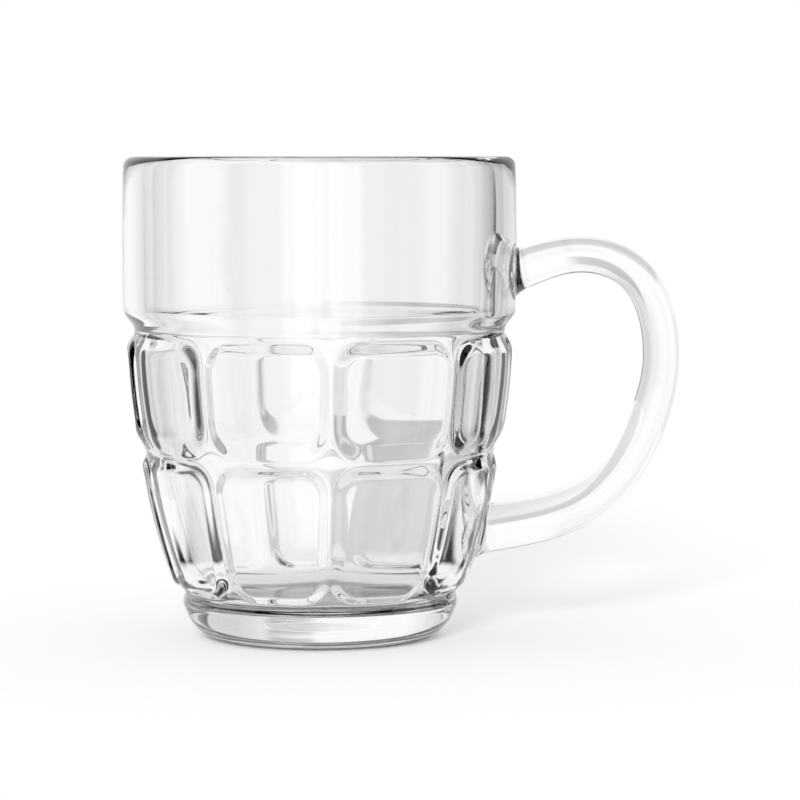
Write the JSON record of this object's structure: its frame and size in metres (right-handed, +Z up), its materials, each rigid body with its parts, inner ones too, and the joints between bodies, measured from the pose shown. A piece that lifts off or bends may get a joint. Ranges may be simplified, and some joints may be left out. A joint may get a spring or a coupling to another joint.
{
  "type": "juice mug",
  "caption": "Thick-walled clear glass mug with a smooth band under the rim, rows of moulded cushion panels, a heavy base and a C-shaped handle, for cold drinks.",
  "frame": {"origin": "centre of the flat underside, on the vessel's axis", "axes": "+Z up along the vessel's axis, +X out through the handle, +Y to the left of the handle seen from the vessel"},
  "size_m": [0.1167, 0.082, 0.1],
  "materials": {
    "vessel_glass": "clear colourless pressed glass, fire-polished",
    "handle_glass": "clear colourless drawn glass, fire-polished"
  },
  "bodies": {
    "root": {"mug_body": "vessel_glass", "handle": "handle_glass"}
  },
  "joints": []
}
